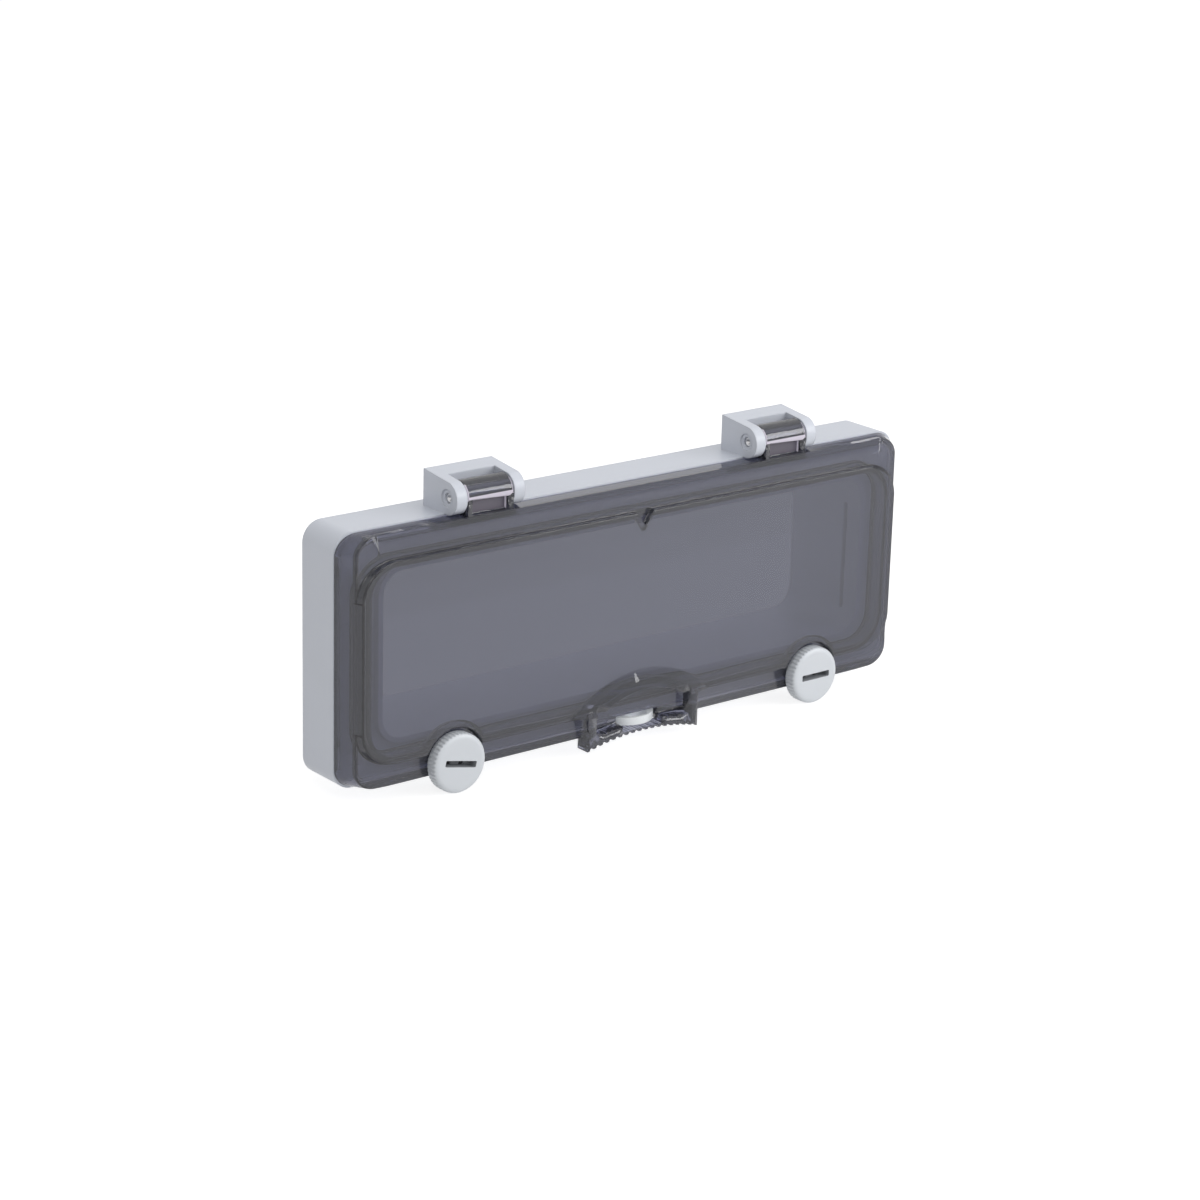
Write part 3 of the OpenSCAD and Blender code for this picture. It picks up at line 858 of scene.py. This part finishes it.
@dataclass
class Studio:
    """Floor, card, lamps and backdrop.

    Attributes:
        floor_z: Height of the floor.
        card: The card behind the opening.
        lamps: The softboxes.
        white: Radiance of the backdrop.
        ambient: Strength of the even light all round.
        floor_half: Half the floor's side.
        floor_cloud: Patches of the floor's tone per metre.
        floor_tone: Least and most of what the floor scatters.
        floor_glow: The floor's own light for rays that only carry light, and for the viewer.
    """

    floor_z: float
    card: Card = Card()
    lamps: tuple[Softbox, ...] = (
        Softbox("top_softbox", (0.1, -0.1, 1.2), (0, 0, 0), 0.9, 3.4),
        Softbox("left_softbox", (-0.55, -0.55, 0.6), (-0.08, 0, 0.05), 0.3, 1.0),
        Softbox("front_softbox", (0.4, -1.15, 0.7), (0, 0, 0), 0.6, 3.3),
        Softbox("right_softbox", (0.62, -0.62, 0.38), (0.08, 0, 0), 0.4, 2.6),
    )
    white: float = 1.0
    ambient: float = 0.5
    floor_half: float = 6.0
    floor_cloud: float = 3.0
    floor_tone: tuple[float, float] = (0.44, 0.46)
    floor_glow: tuple[float, float] = (0.25, 0.8)

    def build(self) -> None:
        """Makes the floor, the card, the lamps and the world."""
        self._floor()
        self.card.stand()
        for lamp in self.lamps:
            lamp.hang()
        self._world()

    def _floor(self) -> None:
        """Lays a wide pale floor whose faint shadow stays."""
        half = (self.floor_half, self.floor_half)
        floor = stage_plane("floor", half, (0, 0, self.floor_z), 0.0)
        material, tree = blank_material("matt_white_sweep")
        place = add_node(tree, "ShaderNodeTexCoord").outputs["Object"]
        cloud = add_node(
            tree,
            "ShaderNodeTexNoise",
            {"Vector": place, "Scale": self.floor_cloud, "Detail": 2.0},
        )
        tone = add_node(
            tree,
            "ShaderNodeMapRange",
            {
                "Value": cloud.outputs[0],
                "To Min": self.floor_tone[0],
                "To Max": self.floor_tone[1],
            },
        )
        matt = add_node(tree, "ShaderNodeBsdfDiffuse", {"Color": tone.outputs[0]})
        glow = add_node(
            tree,
            "ShaderNodeMapRange",
            {
                "Value": seen_by_eye(tree),
                "To Min": self.floor_glow[0],
                "To Max": self.floor_glow[1],
            },
        )
        lift = add_node(
            tree, "ShaderNodeEmission", {"Color": (1, 1, 1, 1), "Strength": glow.outputs[0]}
        )
        both = add_node(tree, "ShaderNodeAddShader", {"0": matt.outputs[0], "1": lift.outputs[0]})
        add_node(tree, "ShaderNodeOutputMaterial", {"Surface": both.outputs[0]})
        floor.data.materials.append(material)

    def _world(self) -> None:
        """Sets an even sky that the viewer sees as plain white."""
        world = bpy.data.worlds.new("white_room")
        world.use_nodes = True
        tree = world.node_tree
        tree.nodes.clear()
        level = add_node(
            tree,
            "ShaderNodeMapRange",
            {"Value": seen_by_eye(tree), "To Min": self.ambient, "To Max": self.white},
        )
        sky = add_node(
            tree, "ShaderNodeBackground", {"Color": (1, 1, 1, 1), "Strength": level.outputs[0]}
        )
        add_node(tree, "ShaderNodeOutputWorld", {"Surface": sky.outputs[0]})
        bpy.context.scene.world = world


class LidFace(IntEnum):
    """Material slots of the lid."""

    CLEAR = 0
    EDGE = 1
    MATT = 2
    CORE = 3

    @property
    def stock(self) -> Stock:
        """Returns the finish that the slot holds."""
        return (Stock.SMOKED, Stock.SMOKED_EDGE, Stock.SMOKED_MATT, Stock.SMOKED_CORE)[self]


@dataclass
class Lid(Assembly):
    """The hinged window lid with the radii of its mould; all in millimetres.

    Attributes:
        rounding: How its longer edges are rounded; its sharp zones are the foot of the knuckles
            and the pull lip.
        sharp_deg: Edges that turn more than this are shaded sharp.
        knuckles_z: What lies above this height belongs to the knuckles.
        pocket_y: Where the floor of a knuckle's pocket stands.
        pocket_slack: How far a face of that floor may lie from it.
        matt_behind: Roundings of a knuckle up to this far behind the pocket's floor get the painted
            highlight.
        matt_above: They get it from this far above knuckles_z.
        brow: The brow over a pocket, which gets the painted highlight, lies ahead of this Y and
            between these heights.
        front_facing: Y of a face's normal, below which it looks to the front.
        hood_half: Half the width of the hood.
        hood_foot: Height its foot starts from.
        hood_y: It stands ahead of this Y.
    """

    rounding: Rounding = Rounding(
        width=0.5,
        least=0.42,
        turn=20.0,
        rear_y=-22.0,
        merge_below=48.9,
        sharp_zones=(
            ((-140, -28.3, 48.3), (140, -27.6, 49.4)),
            ((-29, -40, -60), (29, -20, -37.5)),
        ),
    )
    sharp_deg: float = 40.0
    knuckles_z: float = 49.2
    pocket_y: float = -25.4
    pocket_slack: float = 0.1
    matt_behind: float = 0.6
    matt_above: float = 1.2
    brow: tuple[float, float, float] = (-27.0, 54.8, 56.6)
    front_facing: float = -0.8
    hood_half: float = 40.0
    hood_foot: float = -38.0
    hood_y: float = -30.0

    def build(self) -> bpy.types.Object:
        """Rounds the lid and puts it on its body.

        Returns:
            The finished lid.
        """
        piece = eased_copy(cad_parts["lid"], "clear_hinged_lid", self.rounding)
        shade(piece, self.sharp_deg)
        for part in LidFace:
            piece.data.materials.append(self.paint.get(part.stock))
        for face in piece.data.polygons:
            face.material_index = self._finish_of(face)
        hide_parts("lid")
        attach(piece, "lid")
        return piece

    def _finish_of(self, face: bpy.types.MeshPolygon) -> LidFace:
        """Chooses the finish of one face from where it lies.

        Args:
            face: The face, in slot ROUNDED when it is a rounding.

        Returns:
            The material slot it belongs in.
        """
        spot, rounded = face.center / MM, face.material_index == ROUNDED
        if spot.z <= self.knuckles_z:
            # Roundings below the knuckles get the painted dark edge, apart from those on the hood.
            return LidFace.EDGE if rounded and not self._on_hood(spot) else LidFace.CLEAR
        # Knuckle roundings ahead of and above the pocket get the painted highlight.
        if rounded:
            ahead = spot.y < self.pocket_y + self.matt_behind
            above = spot.z > self.knuckles_z + self.matt_above
            return LidFace.MATT if ahead and above else LidFace.CLEAR
        if face.normal.y > self.front_facing:
            return LidFace.CLEAR
        # The brow over a pocket gets the painted highlight.
        if spot.y < self.brow[0] and self.brow[1] < spot.z < self.brow[2]:
            return LidFace.MATT
        # The pocket's floor gets the painted shade.
        on_floor = abs(spot.y - self.pocket_y) < self.pocket_slack
        return LidFace.CORE if on_floor else LidFace.CLEAR

    def _on_hood(self, spot: Vector) -> bool:
        """Says whether a point lies on the hood, whose foot gets no painted dark edge."""
        return abs(spot.x) < self.hood_half and spot.z > self.hood_foot and spot.y < self.hood_y


@dataclass
class Knob(Assembly):
    """A ribbed quarter-turn knob with a softened rim, a coin slot and a grooved shank.

    Lengths are millimetres and angles degrees. Heights of the profile count from the knob's back.

    Attributes:
        side: Which knob it is.
        slot_turn: Turn of the coin slot.
        across: Distance of the axis from the middle.
        height: Height of the axis.
        back_y: Plane of the knob's back.
        radius: Radius over the ribs.
        thick: Thickness of the head.
        rim: Width and depth of the face's rounded rim.
        face_ring: How far inside that rim the face's flat middle starts.
        belt: Height of the ring round the ribs.
        back_r: Radius of the rim at the back.
        ribs: Number of ribs.
        groove_r: Radius of the grooves between them.
        groove_out: How far the middle of a groove's arc lies outside the ribs.
        groove_steps: Where the columns of a groove stand, as shares of half its width.
        slot_l: Length of the coin slot.
        slot_w: Width of the coin slot.
        slot_deep: Depth of the coin slot.
        slot_corner: Radius of the slot's ends.
        slot_foot: Radius along the slot's floor.
        seat_r: Radius of the seat for the O-ring.
        seat_deep: Depth of that seat.
        seat_edge: Chamfer of the seat and at the shank's root.
        shank_r: Radius of the shank.
        shank_l: Length of the shank.
        shank_edge: Chamfer of its end.
        clip: Heights of the snap ring's groove.
        clip_deep: Depth of that groove.
        hole_r: Radius of the screw hole.
        hole_deep: Depth of the screw hole.
    """

    side: Side = Side.LEFT
    slot_turn: float = 0.0
    across: float = 89.0
    height: float = -44.7
    back_y: float = -28.3
    radius: float = 11.8
    thick: float = 5.6
    rim: tuple[float, float] = (2.3, 1.5)
    face_ring: float = 1.0
    belt: float = 2.0
    back_r: float = 0.5
    ribs: int = 44
    groove_r: float = 0.5
    groove_out: float = 0.15
    groove_steps: tuple[float, ...] = (-1.0, -0.8, -0.45, 0.0, 0.45, 0.8, 1.0)
    slot_l: float = 14.4
    slot_w: float = 2.5
    slot_deep: float = 4.2
    slot_corner: float = 0.45
    slot_foot: float = 0.3
    seat_r: float = 4.2
    seat_deep: float = 1.5
    seat_edge: float = 0.2
    shank_r: float = 2.0
    shank_l: float = 13.3
    shank_edge: float = 0.25
    clip: tuple[float, float] = (-4.4, -5.1)
    clip_deep: float = 0.4
    hole_r: float = 1.0
    hole_deep: float = 6.5

    def build(self) -> bpy.types.Object:
        """Turns the knob, cuts its slot and puts it on its body.

        Returns:
            The finished knob.
        """
        word = self.side.word
        angles, limits = self._columns()
        head = lathe(self._profile(), angles, limits, self._place())
        piece = new_object(f"{word}_coin_knob", head)
        self._cut_slot(piece)
        shade(piece)
        # The second material is the painted shade that the coin slot's cut faces get.
        for stock in (Stock.KNOB, Stock.SLOT):
            piece.data.materials.append(self.paint.get(stock))
        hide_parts(f"knob_{word}")
        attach(piece, f"{word}_knob")
        return piece

    def _place(self) -> Matrix:
        """Finds the way from the knob's millimetres to the world's metres.

        Returns:
            The matrix; the knob's Z points to the front.
        """
        stand = Matrix(((1, 0, 0), (0, 0, -1), (0, 1, 0))).to_4x4()
        spot = Vector((self.side * self.across, self.back_y, self.height)) * MM
        turn = Matrix.Rotation(math.radians(self.slot_turn), 4, "Z")
        return Matrix.Translation(spot) @ stand @ turn @ Matrix.Scale(MM, 4)

    def _profile(self) -> Profile:
        """Draws the outline from the middle of the face to the screw hole in the shank's end.

        Returns:
            Radius and height of each point.
        """
        face_r = self.radius - self.rim[0]
        neck_r = self.shank_r - self.clip_deep
        hole_top = self.hole_deep - self.shank_l
        return [
            (0, self.thick),
            (face_r - self.face_ring, self.thick),
            *arc((face_r, self.thick - self.rim[1]), self.rim, (90, 0), 7),
            (self.radius, self.belt),
            *arc((self.radius - self.back_r, self.back_r), (self.back_r, self.back_r), (0, -90), 3),
            (self.seat_r + self.seat_edge, 0),
            (self.seat_r, self.seat_edge),
            (self.seat_r, self.seat_deep),
            (self.shank_r + self.seat_edge, self.seat_deep),
            (self.shank_r, self.seat_deep - self.seat_edge),
            (self.shank_r, self.clip[0]),
            (neck_r, self.clip[0]),
            (neck_r, self.clip[1]),
            (self.shank_r, self.clip[1]),
            (self.shank_r, self.shank_edge - self.shank_l),
            (self.shank_r - self.shank_edge, -self.shank_l),
            (self.hole_r, -self.shank_l),
            (self.hole_r, hole_top),
            (0, hole_top),
        ]

    def _columns(self) -> tuple[list[float], list[float]]:
        """Finds the columns round the knob.

        Returns:
            The angle of each column, and the radius that the grooves leave at each.
        """
        middle = self.radius + self.groove_out
        reach = math.sqrt(self.groove_r**2 - (middle - self.radius) ** 2)
        offsets = [step * reach for step in self.groove_steps]
        pitch = 2 * math.pi / self.ribs
        angles, limits = [], []
        for rib in range(self.ribs):
            for offset in offsets:
                angles.append(rib * pitch + offset / self.radius)
                limits.append(middle - math.sqrt(max(0.0, self.groove_r**2 - offset**2)))
            angles.append((rib + 0.5) * pitch)
            limits.append(self.radius)
        return angles, limits

    def _cut_slot(self, piece: bpy.types.Object) -> None:
        """Cuts the coin slot with a cutter that has rounded corners.

        Args:
            piece: The turned knob.
        """
        bm = bmesh.new()
        bmesh.ops.create_cube(bm, size=1.0)
        # The cutter's middle lies in the face, so half of it cuts.
        size = Vector((self.slot_l, self.slot_w, 2 * self.slot_deep))
        bmesh.ops.scale(bm, vec=size, verts=bm.verts)
        upright = [e for e in bm.edges if e.verts[0].co.z * e.verts[1].co.z < 0]
        bmesh.ops.bevel(
            bm, geom=upright, offset=self.slot_corner, segments=4, profile=0.5, affect="EDGES"
        )
        low = [e for e in bm.edges if all(v.co.z < 0 for v in e.verts)]
        bmesh.ops.bevel(
            bm, geom=low, offset=self.slot_foot, segments=2, profile=0.5, affect="EDGES"
        )
        in_face = self._place() @ Matrix.Translation((0, 0, self.thick))
        bmesh.ops.transform(bm, matrix=in_face, verts=bm.verts)
        # The cutter's faces carry the painted slot shade into the knob.
        for face in bm.faces:
            face.material_index = ROUNDED
        cutter = new_object("slot_cutter", bm)
        cut = piece.modifiers.new("slot", "BOOLEAN")
        cut.operation, cut.solver, cut.object = "DIFFERENCE", "EXACT", cutter
        apply_modifiers(piece)
        bpy.data.objects.remove(cutter)


@dataclass
class HingePin(Assembly):
    """A drawn steel pin with rounded, centre-drilled ends; all in millimetres.

    Attributes:
        side: Which pin it is.
        across: Distance of the hinge from the middle.
        pin_y: Y of the hinge axis.
        height: Height of the hinge axis.
        radius: Radius of the pin.
        half: Half its length.
        end_r: Rounding of its ends.
        pit_r: Radius of the centre hole.
        pit_deep: Depth of the centre hole.
        pit_foot: Radius of the hole's foot, and that foot's depth as a share of the hole's.
        pit_lip: Width and depth of the hole's chamfered lip.
        sides: Number of columns round it.
    """

    side: Side = Side.LEFT
    across: float = 72.5
    pin_y: float = -21.7
    height: float = 55.6
    radius: float = 2.0
    half: float = 14.55
    end_r: float = 0.5
    pit_r: float = 1.1
    pit_deep: float = 1.0
    pit_foot: tuple[float, float] = (0.35, 0.7)
    pit_lip: tuple[float, float] = (0.1, 0.05)
    sides: int = 64

    def build(self) -> bpy.types.Object:
        """Turns the pin and puts it on the frame.

        Returns:
            The finished pin.
        """
        word = self.side.word
        rounding = arc(
            (self.radius - self.end_r, self.half - self.end_r), (self.end_r, self.end_r), (90, 0), 4
        )
        end: Profile = [
            (0, self.half - self.pit_deep),
            (self.pit_foot[0], self.half - self.pit_foot[1] * self.pit_deep),
            (self.pit_r, self.half - self.pit_lip[1]),
            (self.pit_r + self.pit_lip[0], self.half),
            *rounding,
        ]
        profile = end + [(r, -h) for r, h in reversed(end)]
        spot = Vector((self.side * self.across, self.pin_y, self.height)) * MM
        lying = Matrix.Rotation(math.pi / 2, 4, "Y")
        place = Matrix.Translation(spot) @ lying @ Matrix.Scale(MM, 4)
        angles = [2 * math.pi * i / self.sides for i in range(self.sides)]
        bar = lathe(profile, angles, [self.radius] * self.sides, place)
        piece = new_object(f"{word}_drilled_pin", bar)
        shade(piece)
        piece.data.materials.append(self.paint.get(Stock.STEEL))
        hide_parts(f"hinge_pin_{word}")
        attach(piece, "frame")
        return piece


@dataclass(frozen=True)
class Lens:
    """The camera's place and lens.

    Attributes:
        yaw: Turn to the right of straight ahead, in degrees.
        pitch: Tilt down, in degrees.
        roll: Turn about its own axis, in degrees.
        distance: From the camera's plane to the middle of the lid's front.
        aside: How far the middle of the view lies to the right of it.
        above: How far it lies above.
        centre_y: The lid front's Y.
        focal_mm: Focal length.
        sensor_mm: Width of the sensor.
        clip: Nearest and furthest thing it shows.
    """

    yaw: float = 38.72
    pitch: float = 17.93
    roll: float = 1.54
    distance: float = 1.2387
    aside: float = -0.01699
    above: float = 0.00278
    centre_y: float = -0.0305
    focal_mm: float = 96.0
    sensor_mm: float = 36.0
    clip: tuple[float, float] = (0.01, 50.0)

    def place(self) -> bpy.types.Object:
        """Makes the camera and gives it to the scene.

        Returns:
            The camera.
        """
        yaw, pitch, roll = (math.radians(a) for a in (self.yaw, self.pitch, self.roll))
        flat = math.cos(pitch)
        ahead = Vector((math.sin(yaw) * flat, math.cos(yaw) * flat, -math.sin(pitch)))
        level = Vector((math.cos(yaw), -math.sin(yaw), 0))
        upright = level.cross(ahead)
        right = level * math.cos(roll) + upright * math.sin(roll)
        up = upright * math.cos(roll) - level * math.sin(roll)
        middle = Vector((0, self.centre_y, 0))
        spot = middle + right * self.aside + up * self.above - ahead * self.distance
        data = bpy.data.cameras.new("camera")
        data.lens, data.sensor_width = self.focal_mm, self.sensor_mm
        data.clip_start, data.clip_end = self.clip
        camera = bpy.data.objects.new("camera", data)
        turn = Matrix((right, up, -ahead)).transposed().to_4x4()
        camera.matrix_world = Matrix.Translation(spot) @ turn
        bpy.context.scene.collection.objects.link(camera)
        bpy.context.scene.camera = camera
        return camera


def dressed_groups(paint: Paintbox) -> dict[str, Assembly]:
    """Sorts the CAD nodes that keep their mesh into groups.

    Args:
        paint: Where materials come from.

    Returns:
        Name of each group to the group.
    """
    groups = {
        "base frame": Assembly(paint, {"base_frame": Stock.FRAME, "seal_tab": Stock.TAB}),
        "seals": Assembly(paint, {"panel_gasket": Stock.RUBBER, "lid_gasket": Stock.RUBBER}),
        "panel fixing": Assembly(
            paint,
            {
                "mounting_screws": Stock.STEEL,
                "mounting_washers": Stock.RUBBER,
                "screw_caps": Stock.KNOB,
            },
        ),
    }
    for side in Side:
        groups[f"{side.word} latch"] = Assembly(
            paint,
            {
                f"knob_o_ring_{side.word}": Stock.RUBBER,
                f"knob_retainer_{side.word}": Stock.STEEL,
                f"latch_cam_{side.word}": Stock.STEEL,
                f"cam_screw_{side.word}": Stock.STEEL,
            },
        )
    return groups


def main() -> None:
    """Builds the whole scene in order."""
    logging.basicConfig(level=logging.INFO, format="%(message)s")
    paint = Paintbox()
    for name, group in dressed_groups(paint).items():
        LOG.info("%s: %s", name, ", ".join(node.name for node in group.dress()))
    pieces = [Lid(paint).build()]
    for side, slot_turn in SLOT_TURNS.items():
        pieces.append(Knob(paint, side=side, slot_turn=slot_turn).build())
        pieces.append(HingePin(paint, side=side).build())
    for piece in pieces:
        LOG.info("%s: %d faces", piece.name, len(piece.data.polygons))
    Studio(floor_z=CAD_BOX[0][2] - FLOOR_GAP).build()
    Lens().place()
    bpy.context.scene.view_settings.view_transform = "Standard"


if __name__ == "__main__":
    main()
